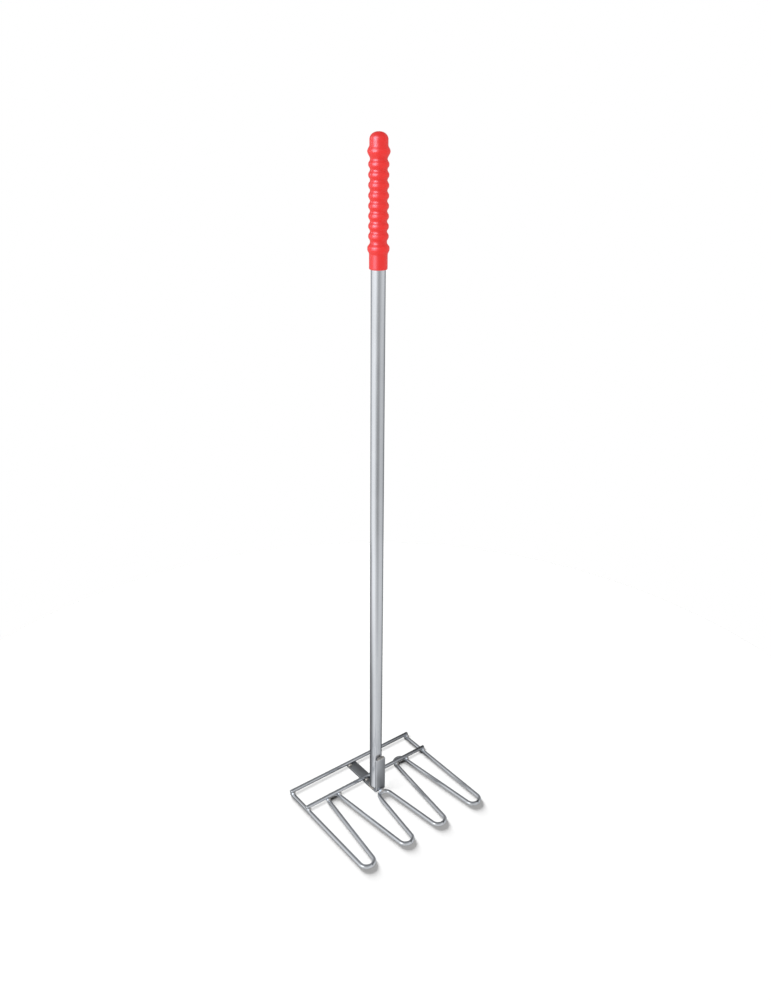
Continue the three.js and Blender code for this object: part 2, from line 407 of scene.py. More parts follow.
LEATHER_SCALE = (3200.0,) * 3
VINYL_CLOUD_SCALE = (45.0,) * 3
# the vinyl's colour in the grooves and on the crests, carrying painted shade and painted light,
# with random tone between
VINYL_DEEP = (0.86, 0.011, 0.007)
VINYL_PALE = (0.94, 0.016, 0.011)
VINYL_ROUGHNESS = (0.35, 0.39)
VINYL_IOR = 1.53
LEATHER_DEPTH = 0.001 * MM
VINYL_BUMP = 0.1


def stock_colour(nodes, links, lines, clouds, dark, light):
    """The steel's dark and light colour, mixed by its lines and clouds."""
    line_share = calculate(nodes, links, "MULTIPLY", lines, 0.5)
    cloud_share = calculate(nodes, links, "MULTIPLY", clouds, 0.5)
    blend = calculate(nodes, links, "ADD", line_share, cloud_share)
    blend = remap(nodes, links, blend, 0.3, 0.7)
    return mix_colours(nodes, links, blend, dark, light)


def heat_tinted(nodes, links, colour, heat, dark):
    """The colour, burnt where a weld heated the steel."""
    tint = remap(nodes, links, heat, *HEAT_LEVELS, 0.0, HEAT_SHARE)
    burnt = tuple(part * share for part, share in zip(dark, HEAT_TINT))
    return mix_colours(nodes, links, tint, colour, burnt)


def with_tone_and_painted_light(nodes, links, colour, clouds):
    """The colour, brighter by the mesh's attribute: the strip's even tone, and the painted
    light, painted shade and painted highlights on its leg.
    """
    patches = remap(nodes, links, clouds, 0.3, 0.6, 0.6, 1.0)
    tone_and_painted_light = calculate(nodes, links, "MULTIPLY", attribute_value(nodes, "tone_and_painted_light"), patches)
    return mix_colours(nodes, links, tone_and_painted_light, colour, BRIGHT_STEEL_TONE)


def steel_roughness(nodes, links, clouds, heat, marks, smooth, rough):
    """Cloudy, and rougher at heated places and scratches."""
    worn = remap(nodes, links, clouds, 0.3, 0.7, smooth, rough)
    scaled_over = remap(nodes, links, heat, 0.1, 0.6, 0.0, 0.16)
    worn = calculate(nodes, links, "ADD", worn, scaled_over)
    scratched = remap(nodes, links, marks, 0.0, 1.0, 0.0, 0.03)
    return calculate(nodes, links, "ADD", worn, scratched)


def steel(name, dark, light, smooth, rough, line_depth, edge, lines_across=DRAWN_LINES):
    """Steel with the fine lines of drawing or rolling, cloudy patches, small scratches,
    a faint straw-brown tint where a weld heated it, and, where a mesh's attribute asks for it,
    painted light, painted shade and painted highlights. smooth and rough limit its roughness,
    and edge is how much it reflects at a grazing angle."""
    material, nodes, links, shader = new_material(name)
    shader.inputs["Metallic"].default_value = 1.0
    shader.inputs["Specular Tint"].default_value = [edge * tint for tint in EDGE_TINT] + [1.0]
    lines = stretched_noise(nodes, links, (LINES_ALONG, lines_across, lines_across), 2.0)
    clouds = stretched_noise(nodes, links, CLOUD_SCALE, 5.0)
    marks = stretched_noise(nodes, links, MARK_SCALE, 2.0)
    marks = remap(nodes, links, marks, *MARK_LEVELS)
    heat = calculate(nodes, links, "MULTIPLY", attribute_value(nodes, "heat"), clouds)

    colour = stock_colour(nodes, links, lines, clouds, dark, light)
    colour = heat_tinted(nodes, links, colour, heat, dark)
    # painted light, painted shade and painted highlights, where the mesh's attribute asks for
    # them
    colour = with_tone_and_painted_light(nodes, links, colour, clouds)
    links.new(colour, shader.inputs["Base Color"])

    roughness = steel_roughness(nodes, links, clouds, heat, marks, smooth, rough)
    links.new(roughness, shader.inputs["Roughness"])

    dents = calculate(nodes, links, "MULTIPLY", marks, DENT_SHARE)
    relief = calculate(nodes, links, "SUBTRACT", lines, dents)
    add_bump(nodes, links, shader, relief, line_depth, STEEL_BUMP)
    return material


def weld_steel():
    """Weld metal: finely lumpy, with darker and duller scale in patches."""
    material, nodes, links, shader = new_material("weld_metal")
    shader.inputs["Metallic"].default_value = 1.0
    lumps = stretched_noise(nodes, links, LUMP_SCALE, 4.0)
    scale = stretched_noise(nodes, links, SCALE_PATCHES, 3.0)
    patch = remap(nodes, links, scale, 0.38, 0.62)
    colour = mix_colours(nodes, links, patch, WELD_DARK, WELD_LIGHT)
    links.new(colour, shader.inputs["Base Color"])
    roughness = remap(nodes, links, patch, 0.0, 1.0, *WELD_ROUGHNESS)
    links.new(roughness, shader.inputs["Roughness"])
    add_bump(nodes, links, shader, lumps, LUMP_DEPTH, WELD_BUMP)
    return material


def red_vinyl():
    """Soft red vinyl: satin skin with a fine leathery grain, a little deeper in the grooves
    as painted shade and paler on the crests as painted light."""
    material, nodes, links, shader = new_material("red_vinyl")
    leather = stretched_noise(nodes, links, LEATHER_SCALE, 3.0)
    clouds = stretched_noise(nodes, links, VINYL_CLOUD_SCALE, 4.0)
    # painted shade in the grooves and painted light on the crests, mixed with a random cloudy
    # tone
    crest_share = calculate(nodes, links, "MULTIPLY", attribute_value(nodes, "crest"), 0.6)
    cloud_share = calculate(nodes, links, "MULTIPLY", clouds, 0.5)
    shade = calculate(nodes, links, "ADD", crest_share, cloud_share)
    shade = remap(nodes, links, shade, 0.15, 0.85)
    colour = mix_colours(nodes, links, shade, VINYL_DEEP, VINYL_PALE)
    links.new(colour, shader.inputs["Base Color"])
    roughness = remap(nodes, links, clouds, 0.3, 0.7, *VINYL_ROUGHNESS)
    links.new(roughness, shader.inputs["Roughness"])
    shader.inputs["IOR"].default_value = VINYL_IOR
    add_bump(nodes, links, shader, leather, LEATHER_DEPTH, VINYL_BUMP)
    return material


WIRE_STEEL = steel(
    "drawn_wire_steel",
    dark=(0.51, 0.53, 0.56),
    light=(0.61, 0.63, 0.66),
    smooth=0.09,
    rough=0.15,
    line_depth=0.004 * MM,
    edge=0.34,
)
BAR_STEEL = steel(
    "drawn_bar_steel",
    dark=(0.49, 0.51, 0.54),
    light=(0.58, 0.60, 0.63),
    smooth=0.09,
    rough=0.14,
    line_depth=0.004 * MM,
    edge=0.24,
)
TUBE_STEEL = steel(
    "drawn_tube_steel",
    dark=(0.53, 0.55, 0.58),
    light=(0.60, 0.62, 0.65),
    smooth=0.15,
    rough=0.22,
    line_depth=0.004 * MM,
    edge=0.16,
)
STRIP_STEEL = steel(
    "rolled_strip_steel",
    dark=(0.135, 0.142, 0.152),
    light=(0.205, 0.213, 0.226),
    smooth=0.36,
    rough=0.50,
    line_depth=0.02 * MM,
    edge=0.17,
    lines_across=ROLLED_LINES,
)
WELD_METAL = weld_steel()
VINYL = red_vinyl()

# ---- tine wire -------------------------------------------------------------------


def tip_bend(x):
    """The bend at a tine's tip: its centre, its radius and 1 for a turn to the left."""
    return {"centre": Vector((x, TIP_Y)), "r": TIP_R, "turn": 1}


def valley_bend(x, y):
    """The bend between two tines, which turns to the right."""
    return {"centre": Vector((x, y)), "r": VALLEY_R, "turn": -1}


def leg_heading(before, after):
    """Heading of the straight leg between two bends that turn opposite ways."""
    between = after["centre"] - before["centre"]
    lean = math.asin((before["r"] + after["r"]) / between.length)
    return math.atan2(between.y, between.x) + before["turn"] * lean


def wire_route():
    """(place, heading) along the wire's centre line, from its left rear end."""
    bends = [
        tip_bend(-OUTER_TIP_X),
        valley_bend(-SIDE_VALLEY_X, FRONT_BAR_Y - LEFT_VALLEY_BEHIND),
        tip_bend(-INNER_TIP_X),
        valley_bend(0.0, STRIP_LOW.y - CENTRE_VALLEY_AHEAD),
        tip_bend(INNER_TIP_X),
        valley_bend(SIDE_VALLEY_X, FRONT_BAR_Y - RIGHT_VALLEY_BEHIND),
        tip_bend(OUTER_TIP_X),
    ]
    route = [(Vector((-OUTER_LEG_X, WIRE_HIGH.y)), -math.pi / 2)]
    for i, bend in enumerate(bends):
        enter = -math.pi / 2 if i == 0 else leg_heading(bends[i - 1], bend)
        leave = math.pi / 2 if i == len(bends) - 1 else leg_heading(bend, bends[i + 1])
        turned = (leave - enter) * bend["turn"] % (2 * math.pi)
        steps = math.ceil(turned / BEND_STEP)
        for k in range(steps + 1):
            heading = enter + bend["turn"] * turned * k / steps
            side = heading - bend["turn"] * math.pi / 2
            out = Vector((math.cos(side), math.sin(side)))
            route.append((bend["centre"] + out * bend["r"], heading))
    route.append((Vector((OUTER_LEG_X, WIRE_HIGH.y)), math.pi / 2))
    return route


def filled_in(route, step):
    """The route with its long straight pieces cut into short ones."""
    filled = [route[0]]
    for (a, _), (b, heading) in zip(route, route[1:]):
        count = max(1, round((b - a).length / step))
        for k in range(1, count + 1):
            filled.append((a.lerp(b, k / count), heading))
    return filled


def flat_stations(route, z):
    """Sweep stations for a route that lies level."""
    stations = []
    for place, heading in route:
        across = Vector((math.sin(heading), -math.cos(heading), 0.0))
        stations.append((Vector((place.x, place.y, z)), across, Vector((0, 0, 1)), 1.0))
    return stations


def make_wire():
    """One round wire, bent into four tines."""
    stations = flat_stations(filled_in(wire_route(), STEP), WIRE_Z)
    stations = chamfered_ends(stations, WIRE_R)
    section = circle_section(WIRE_R, WIRE_SIDES)
    wire = piece("bent_tine_wire", *sweep(stations, section), WIRE_STEEL)
    place_piece(wire, "tine_wire")


# ---- cross bars ------------------------------------------------------------------


def make_bar(name, node, y):
    """A plain rod along X, on top of the wire."""
    ends = [
        (Vector((-BAR_HALF_LENGTH, y)), 0.0),
        (Vector((BAR_HALF_LENGTH, y)), 0.0),
    ]
    stations = chamfered_ends(flat_stations(filled_in(ends, STEP), BAR_Z), BAR_R)
    section = circle_section(BAR_R, BAR_SIDES)
    bar = piece(name, *sweep(stations, section), BAR_STEEL)
    place_piece(bar, node)


# ---- bent strip ------------------------------------------------------------------


STRIP_LEVEL = STRIP_TOP - STRIP_THICK / 2       # middle of its flat part's thickness
STRIP_LEG_Y = STRIP_LOW.y + STRIP_THICK / 2     # and of its leg's
STRIP_BEND_Y = STRIP_LEG_Y + STRIP_BEND_R
STRIP_BEND_Z = STRIP_LEVEL + STRIP_BEND_R
STRIP_LEG_LENGTH = STRIP_HIGH.z - STRIP_BEND_Z


def strip_stations():
    """Sweep stations from the strip's rear end, round its bend and up its leg."""
    right = Vector((1, 0, 0))
    upwards = Vector((0, 0, 1))
    backwards = Vector((0, 1, 0))
    stations = []
    flat_length = STRIP_HIGH.y - STRIP_BEND_Y
    flat_steps = round(flat_length / STEP)
    for k in range(flat_steps):
        y = STRIP_HIGH.y - flat_length * k / flat_steps
        stations.append((Vector((STRIP_X, y, STRIP_LEVEL)), right, upwards, 1.0))
    for k in range(STRIP_BEND_STEPS + 1):
        angle = math.pi / 2 * k / STRIP_BEND_STEPS
        inwards = Vector((0, math.sin(angle), math.cos(angle)))
        place = Vector((STRIP_X, STRIP_BEND_Y, STRIP_BEND_Z)) - inwards * STRIP_BEND_R
        stations.append((place, right, inwards, 1.0))
    leg_steps = round(STRIP_LEG_LENGTH / STEP)
    for k in range(1, leg_steps + 1):
        z = STRIP_BEND_Z + STRIP_LEG_LENGTH * k / leg_steps
        stations.append((Vector((STRIP_X, STRIP_LEG_Y, z)), right, backwards, 1.0))
    before_end = stations[-1][0] - upwards * (2 * END_CHAMFER)
    stations.insert(-1, (before_end, right, backwards, 1.0))
    return stations


def chamfer_strip_ends(points, stations, section):
    """Moves the outline of the first and the last station inwards."""
    starts = ((0, stations[0]), (len(points) - len(section), stations[-1]))
    for start, (_, across, up, _) in starts:
        for i, (a, u) in enumerate(section):
            outwards = across * math.copysign(1, a) + up * math.copysign(1, u)
            points[start + i] -= outwards * END_CHAMFER


def strip_tone_and_painted_light(a, u, height):
    """How far the strip is brightened, from 0 to 1: an even tone on its flat part, and on its
    leg painted light, most at the upper left of its front, and painted shade at the lower right.
    """
    if height < 0 or u > 0:
        return FLAT_TONE
    # painted light up the left of the leg, painted shade down its right and at its foot
    foot, top = LEFT_PAINTED_LIGHT if a < 0 else RIGHT_PAINTED_LIGHT
    return foot + (top - foot) * height


def strip_tone_and_painted_highlights(stations, section):
    """How far each point of the strip is brightened. The leg's rounded edges and its top get
    painted highlights.
    """
    corner_points = len(section) // 4
    tone_and_painted_light = []
    for number, station in enumerate(stations):
        at_top = number == len(stations) - 1
        height = (station[0].z - STRIP_BEND_Z) / STRIP_LEG_LENGTH
        for i, (a, u) in enumerate(section):
            on_corner = i % corner_points not in (0, corner_points - 1)
            # painted highlights along the leg's rounded edges and on its top
            if at_top or (on_corner and height > 0):
                tone_and_painted_light.append(1.0)
            else:
                tone_and_painted_light.append(strip_tone_and_painted_light(a, u, height))
    return tone_and_painted_light


def make_strip():
    """Flat strip under both bars, bent up in front of the tube."""
    stations = strip_stations()
    section = rounded_section(STRIP_WIDTH, STRIP_THICK, STRIP_EDGE_R)
    points, faces, grain = sweep(stations, section)
    chamfer_strip_ends(points, stations, section)
    strip = piece("bent_flat_strip", points, faces, grain, STRIP_STEEL)
    # the strip's even tone, and painted light, painted shade and painted highlights on its leg
    store(strip, "tone_and_painted_light", strip_tone_and_painted_highlights(stations, section))
    place_piece(strip, "bent_strip")


# ---- tube ------------------------------------------------------------------------


def tube_profile():
    """Closed outline (radius, z) of the tube's wall, chamfered at both ends."""
    bore = TUBE_R - TUBE_WALL
    low = TUBE_FOOT + TUBE_CHAMFER
    length = TUBE_TOP - TUBE_FOOT - 2 * TUBE_CHAMFER
    profile = [(bore, low), (bore + TUBE_CHAMFER, TUBE_FOOT), (TUBE_R - TUBE_CHAMFER, TUBE_FOOT)]
    for k in range(TUBE_BANDS + 1):
        profile.append((TUBE_R, low + length * k / TUBE_BANDS))
    profile.append((TUBE_R - TUBE_CHAMFER, TUBE_TOP))
    profile.append((bore + TUBE_CHAMFER, TUBE_TOP))
    profile.append((bore, TUBE_TOP - TUBE_CHAMFER))
    return profile


def make_tube():
    """Plain drawn tube, open at both ends."""
    points, faces, grain = lathe(tube_profile(), angles_round(TUBE_SIDES))
    tube = piece("drawn_steel_tube", points, faces, grain, TUBE_STEEL)
    place_piece(tube, "shaft_tube")


# ---- grip ------------------------------------------------------------------------


def round_ridge(rise):
    """Cross-section of a round ridge: 1 in its middle, 0 where rise reaches 1 or -1."""
    if abs(rise) >= 1:
        return 0.0
    return (0.5 + 0.5 * math.cos(math.pi * rise)) ** 0.75


def flat_ridge(rise):
    """The same with a broader crest and a flatter valley."""
    share = min(1.0, max(0.0, (0.95 - abs(rise)) / 0.8))
    return share * share * (3 - 2 * share)


def grip_radius(z):
    """Radius of the grip's outside at a height, from its cuff up to its neck."""
    low_ring = GRIP_LOW + LOW_RING_RISE
    high_ring = GRIP_HIGH - HIGH_RING_DROP
    first_rib = GRIP_LOW + FIRST_RIB_RISE
    if z < low_ring:
        base = CUFF_R
    elif z > high_ring:
        base = NECK_R
    else:
        base = GROOVE_R
    high_half = HIGH_RING_ABOVE if z > high_ring else HIGH_RING_BELOW
    ridges = [
        (LOW_RING_R - base) * flat_ridge((z - low_ring) / LOW_RING_HALF),
        (HIGH_RING_R - base) * round_ridge((z - high_ring) / high_half),
    ]
    for i in range(RIB_COUNT):
        middle = first_rib + i * RIB_PITCH
        ridges.append((RIB_R - base) * flat_ridge((z - middle) / (RIB_PITCH / 2)))
    return base + max(ridges)


def grip_profile():
    """Closed outline (radius, z) of the grip, up its outside and down its bore."""
    bore = TUBE_R + GRIP_FIT
    low = GRIP_LOW + CUFF_END_RISE
    profile = [(bore, TUBE_TOP), (bore, low + GRIP_MOUTH), (bore + GRIP_MOUTH, low)]
    for k in range(CUFF_EDGE_STEPS):
        angle = math.pi / 2 * k / CUFF_EDGE_STEPS
        profile.append((
            CUFF_R - CUFF_EDGE_R + CUFF_EDGE_R * math.sin(angle),
            low + CUFF_EDGE_R - CUFF_EDGE_R * math.cos(angle),
        ))
    dome_foot = GRIP_HIGH - DOME_HEIGHT
    length = dome_foot - low - CUFF_EDGE_R
    bands = round(length / GRIP_STEP)
    for k in range(bands + 1):
        z = low + CUFF_EDGE_R + length * k / bands
        profile.append((grip_radius(z), z))
    for k in range(1, DOME_STEPS):
        angle = math.pi / 2 * k / DOME_STEPS
        radius = NECK_R * math.cos(angle) ** DOME_POWER
        profile.append((radius, dome_foot + DOME_HEIGHT * math.sin(angle)))
    profile.append((POLE_R, GRIP_HIGH))
    profile.append((POLE_R, TUBE_TOP))
    return profile


def seam_bulge(radius, z, angle):
    """The mould line: a low ridge up both sides of the grip."""
    if radius < GROOVE_R * 0.97 or z < GRIP_LOW + SEAM_START:
        return 0.0
    off_right = abs(math.remainder(angle, 2 * math.pi))
    off_left = abs(math.remainder(angle - math.pi, 2 * math.pi))
    off = min(off_right, off_left) / SEAM_HALF_WIDTH
    return SEAM_RISE * max(0.0, 1 - off ** 2)


def make_grip():
    """Ribbed sleeve with a domed end, on top of the tube."""
    angles = angles_round(GRIP_SIDES)
    for side in (0.0, math.pi):
        angles += [side + SEAM_HALF_WIDTH * share for share in (-1, -0.5, 0.5, 1)]
    angles = sorted(a % (2 * math.pi) for a in angles)
    points, faces, grain = lathe(grip_profile(), angles, seam_bulge)
    grip = piece("ribbed_red_grip", points, faces, grain, VINYL)
    # how high each point stands on the ribs, for the vinyl's painted shade and painted light
    crests = []
    for point in points:
        radius = math.hypot(point.x - AXIS.x, point.y - AXIS.y)
        crests.append((radius - GROOVE_R) / (HIGH_RING_R - GROOVE_R))
    store(grip, "crest", crests)
    place_piece(grip, "grip")


# ---- weld beads ------------------------------------------------------------------


def lump(name, node, centre, half_sizes, seed):
    """A rounded lump of weld metal, slightly uneven."""
    shape = bmesh.new()
    bmesh.ops.create_icosphere(shape, subdivisions=4, radius=1.0)
    for vertex in shape.verts:
        direction = vertex.co.normalized()
        swirl = noise.noise(direction * 1.7 + Vector((seed * 7.3, 0, 0)))
        fine = noise.noise(direction * 5.0 + Vector((0, seed * 3.1, 0)))
        vertex.co = direction * (1 + BEAD_SWELL * swirl + BEAD_SWELL * 0.35 * fine)
    shape.verts.ensure_lookup_table()
    points = []
    for vertex in shape.verts:
        points.append(centre + Vector([c * half for c, half in zip(vertex.co, half_sizes)]))
    faces = [tuple(v.index for v in face.verts) for face in shape.faces]
    shape.free()
    bead = piece(name, points, faces, [tuple(p) for p in points], WELD_METAL, 80)
    place_piece(bead, node)


def foot_bead():
    """Rippled bead round the left and rear of the tube's foot."""
    start, end = FOOT_BEAD_ARC
    middle = Vector((AXIS.x, AXIS.y, STRIP_TOP + FOOT_BEAD_OUT))
    stations = []
    for k in range(FOOT_BEAD_STEPS + 1):
        angle = start + (end - start) * k / FOOT_BEAD_STEPS
        out = Vector((math.cos(angle), math.sin(angle), 0))
        place = middle + out * (TUBE_R + FOOT_BEAD_OUT)
        ripple = 1 + 0.10 * abs(math.sin(k * math.pi / RIPPLE_STEPS))
        ripple += 0.05 * noise.noise(place * 900)
        from_end = min(k, FOOT_BEAD_STEPS - k) / FOOT_BEAD_STEPS
        taper = min(1.0, 6 * from_end + 0.25)
        stations.append((place, out, Vector((0, 0, 1)), ripple * taper))
    section = circle_section(FOOT_BEAD_R, FOOT_BEAD_SIDES)
    bead = piece("weld_bead_tube_foot", *sweep(stations, section), WELD_METAL, 60)
    place_piece(bead, "weld_tube_foot")


def make_welds():
    """A bead at each weld of the CAD."""
    special = {
        "weld_centre_valley": CENTRE_VALLEY_BEAD,
        "weld_strip_top": STRIP_TOP_BEAD,
    }
    for seed, (node, place) in enumerate(zip(WELD_NODES, WELD_PLACES)):
        if node == "weld_tube_foot":
            foot_bead()
            continue
        if node == "weld_strip_top":
            place = place - Vector((0.0, STRIP_TOP_BEAD_AHEAD, 0.0))
        name = node.replace("weld", "weld_bead")
        lump(name, node, place, special.get(node, CROSSING_BEAD), seed)


# ---- stage, light and camera -----------------------------------------------------

CAMERA_PLACE = Vector((AXIS.x - 0.5935, AXIS.y - 0.7706, 0.8694))
CAMERA_HEADING = math.radians(-38.19)  # from +Y towards +X
CAMERA_DOWN = math.radians(24.07)
CAMERA_ROLL = math.radians(0.54)
CAMERA_LENS = 32.4              # mm, on a sensor 36 mm wide
TO_CAMERA = Vector((math.sin(CAMERA_HEADING), -math.cos(CAMERA_HEADING), 0.0))
LEFT_OF_CAMERA = Vector((TO_CAMERA.y, -TO_CAMERA.x, 0.0))

FLOOR_R = 0.75
FLOOR_GREY = 0.04               # its suns are bright enough to show this grey as white
FLOOR_ROUGHNESS = 0.9
FLOOR_SIDES = 128

WINDOW_TINT = (0.74, 0.90, 1.16)
WINDOW_AZIMUTH = 44.5           # soft box that the grip's highlights come from, in degrees
WINDOW_ELEVATION = 19.0
WINDOW_DISTANCE = 3.0
WINDOW_SIZE = (2.5, 2.9)
WINDOW_RADIANCE = 9.6

# Brightness of what reflections see, by direction: (degrees to the left of the camera as
# seen from the fork, brightness). The first two are the floor near the fork and far off.
NEAR_GLOW = [
    (-180, 0.40), (-160, 0.16), (-138, 0.16), (-122, 0.60), (-100, 0.78), (-50, 0.88),
    (-10, 0.98), (28, 1.10), (50, 0.95), (72, 0.50), (100, 0.26), (180, 0.45),
]
FAR_GLOW = [
    (-180, 0.51), (-130, 0.64), (-90, 0.97), (-50, 0.91), (-18, 0.66), (0, 0.79),
    (24, 1.21), (45, 1.46), (85, 1.30), (115, 0.50), (150, 0.42), (180, 0.51),
]
GLOW_DISTANCES = (0.18, 0.55)   # metres from the tube, where the near glow turns to the far

# The studio, from below the floor's edge upwards.
BELOW = [
    (-180, 0.40), (-125, 0.55), (-90, 0.80), (-55, 0.84), (-35, 0.66), (-18, 0.44),
    (-3, 0.46), (16, 0.66), (32, 1.06), (48, 1.34), (90, 1.34), (118, 1.0),
    (150, 0.55), (180, 0.40),
]
NEARLY_LEVEL = [
    (-180, 0.35), (-116, 0.9), (-88, 1.12), (-65, 1.0), (-45, 0.74), (-27, 0.62),
    (-9, 0.68), (9, 1.0), (28, 1.55), (45, 1.50), (88, 1.28), (116, 1.05),
    (145, 0.5), (180, 0.35),
]
LEVEL = [
    (-180, 0.30), (-110, 0.45), (-75, 0.95), (-50, 0.8), (0, 0.5), (24, 0.9),
    (38, 2.2), (54, 2.2), (68, 1.25), (118, 1.2), (140, 0.50), (180, 0.30),
]
RAISED = [
    (-180, 0.31), (-120, 0.45), (-82, 0.95), (-55, 1.05), (0, 0.75), (24, 1.0),
    (38, 2.8), (54, 2.8), (68, 1.30), (80, 1.35), (100, 0.85), (135, 0.62),
    (158, 0.37), (180, 0.31),
]
OVERHEAD = (0.36, 0.37, 0.38)

# Heights of a direction, as its Z part, between which one ring of the studio turns into
# the next one up.
BELOW_TO_NEARLY_LEVEL = (-0.24, -0.16)
NEARLY_LEVEL_TO_LEVEL = (-0.06, 0.02)
LEVEL_TO_RAISED = (0.10, 0.35)
RAISED_TO_OVERHEAD = (0.60, 0.88)

# A black flag stands towards +X. Its edges are X parts of a direction.
FLAG_START = (0.476, 0.498)
FLAG_END = (0.58, 0.72)
FLAG_SHARE = 0.12               # of the studio's light, seen at the flag
PAST_FLAG = 1.1                 # added to it again past the flag

FILL_LIGHT = 0.82               # even light from all round
SIDE_LIGHT = 0.30               # added to it from the window's side
SIDE_SHARE = [(-180, 0), (-60, 0), (47, 1), (150, 0), (180, 0)]


def azimuth_ramp(nodes, links, ahead, left, stops):
    """Brightness by direction. stops lists (degrees to the left of the camera, brightness)
    from -180 to 180."""
    around = calculate(nodes, links, "ARCTAN2", left, ahead)
    around = remap(nodes, links, around, -math.pi, math.pi, 0.0, 1.0)
    ramp = nodes.new("ShaderNodeValToRGB")
    ramp.color_ramp.interpolation = "EASE"
    elements = ramp.color_ramp.elements
    elements.remove(elements[-1])
    for i, (degrees, value) in enumerate(stops):
        place = (degrees + 180) / 360
        element = elements[0] if i == 0 else elements.new(place)
        element.position = place
        element.color = (value, value, value, 1.0)
    links.new(around, ramp.inputs["Fac"])
    return ramp.outputs["Color"]


def dot_with(nodes, links, vector, direction):
    """How far a node's vector reaches in a direction."""
    node = nodes.new("ShaderNodeVectorMath")
    node.operation = "DOT_PRODUCT"
    links.new(vector, node.inputs[0])
    node.inputs[1].default_value = direction
    return node.outputs["Value"]


def floor_glow(nodes, links):
    """What reflections see in the floor's place, uneven as light on a studio table is."""
    where = nodes.new("ShaderNodeTexCoord").outputs["Object"]
    ahead = dot_with(nodes, links, where, TO_CAMERA)
    left = dot_with(nodes, links, where, LEFT_OF_CAMERA)
    near = azimuth_ramp(nodes, links, ahead, left, NEAR_GLOW)
    far = azimuth_ramp(nodes, links, ahead, left, FAR_GLOW)
    distance = nodes.new("ShaderNodeVectorMath")
    distance.operation = "LENGTH"
    links.new(where, distance.inputs[0])
    share = remap(nodes, links, distance.outputs["Value"], *GLOW_DISTANCES)
    glow = nodes.new("ShaderNodeEmission")
    links.new(mix_colours(nodes, links, share, near, far), glow.inputs["Color"])
    return glow.outputs["Emission"]


def floor_material():
    """Matt and white to the camera, and a glow to everything else."""
    material, nodes, links, shader = new_material("white_floor")
    shader.inputs["Base Color"].default_value = (FLOOR_GREY, FLOOR_GREY, FLOOR_GREY, 1.0)
    shader.inputs["Roughness"].default_value = FLOOR_ROUGHNESS
    shader.inputs["Specular IOR Level"].default_value = 0.0
    path = nodes.new("ShaderNodeLightPath")
    seen = nodes.new("ShaderNodeMixShader")
    links.new(path.outputs["Is Camera Ray"], seen.inputs["Fac"])
    links.new(floor_glow(nodes, links), seen.inputs[1])
    links.new(shader.outputs["BSDF"], seen.inputs[2])
    links.new(seen.outputs["Shader"], nodes["Material Output"].inputs["Surface"])
    material.cycles.emission_sampling = "NONE"
    return material


def make_floor():
    """Plain round floor under the fork."""
    shape = bmesh.new()
    bmesh.ops.create_circle(shape, cap_ends=True, radius=FLOOR_R, segments=FLOOR_SIDES)
    mesh = bpy.data.meshes.new("floor")
    shape.to_mesh(mesh)
    shape.free()
    mesh.materials.append(floor_material())
    floor = bpy.data.objects.new("floor", mesh)
    floor.location = (AXIS.x, AXIS.y, 0.0)
    bpy.context.scene.collection.objects.link(floor)
    floor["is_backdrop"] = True


def make_camera():
    """Camera at the photo's place and angle."""
    forward = Vector((
        -math.sin(CAMERA_HEADING) * math.cos(CAMERA_DOWN),
        math.cos(CAMERA_HEADING) * math.cos(CAMERA_DOWN),
        -math.sin(CAMERA_DOWN),
    ))
    right = forward.cross(Vector((0, 0, 1))).normalized()
    up = right.cross(forward)
    turned_right = right * math.cos(CAMERA_ROLL) + up * math.sin(CAMERA_ROLL)
    turned_up = up * math.cos(CAMERA_ROLL) - right * math.sin(CAMERA_ROLL)
    data = bpy.data.cameras.new("camera")
    data.sensor_width = 36.0
    data.lens = CAMERA_LENS
    data.clip_start = 0.01
    data.clip_end = 100.0
    camera = bpy.data.objects.new("camera", data)
    axes = Matrix((turned_right, turned_up, -forward)).transposed()
    camera.matrix_world = Matrix.Translation(CAMERA_PLACE) @ axes.to_4x4()
    bpy.context.scene.collection.objects.link(camera)
    bpy.context.scene.camera = camera


def direction_to(azimuth, elevation):
    """Unit vector towards a place in the studio. azimuth is how far to the left of the
    camera it is, seen from the fork, in degrees."""
    around, height = math.radians(azimuth), math.radians(elevation)
    level = TO_CAMERA * math.cos(around) + LEFT_OF_CAMERA * math.sin(around)
    return level * math.cos(height) + Vector((0, 0, math.sin(height)))


def aim(light, source):
    """Turns a light so that it shines from the direction source."""
    light.rotation_mode = "QUATERNION"
    light.rotation_quaternion = source.to_track_quat("Z", "Y")


def make_window(lit):
    """A tall soft box, seen only in reflections in the collection lit."""
    source = direction_to(WINDOW_AZIMUTH, WINDOW_ELEVATION)
    data = bpy.data.lights.new("window", "AREA")
    data.shape = "RECTANGLE"
    data.size, data.size_y = WINDOW_SIZE
    data.color = WINDOW_TINT
    data.energy = WINDOW_RADIANCE * math.pi * WINDOW_SIZE[0] * WINDOW_SIZE[1]
    light = bpy.data.objects.new("window", data)
    grip_middle = Vector((AXIS.x, AXIS.y, (GRIP_LOW + GRIP_HIGH) / 2))
    light.location = grip_middle + source * WINDOW_DISTANCE
    aim(light, source)
    light.visible_camera = False
    light.visible_diffuse = False
    light.light_linking.receiver_collection = lit
    bpy.context.scene.collection.objects.link(light)


def make_sun(name, azimuth, elevation, spread, strength, lit, shading):
    """A soft distant light. lit and shading are the collections that it lights and that
    cast its shadows. Angles are in degrees."""
    data = bpy.data.lights.new(name, "SUN")
    data.energy = strength
    data.angle = math.radians(spread)
    light = bpy.data.objects.new(name, data)
    aim(light, direction_to(azimuth, elevation))
    light.visible_glossy = False
    light.light_linking.receiver_collection = lit
    light.light_linking.blocker_collection = shading
    bpy.context.scene.collection.objects.link(light)


def collection_of(name, names):
    """A collection of the objects with these names, for a light's links."""
    collection = bpy.data.collections.new(name)
    for obj_name in names:
        collection.objects.link(bpy.data.objects[obj_name])
    return collection


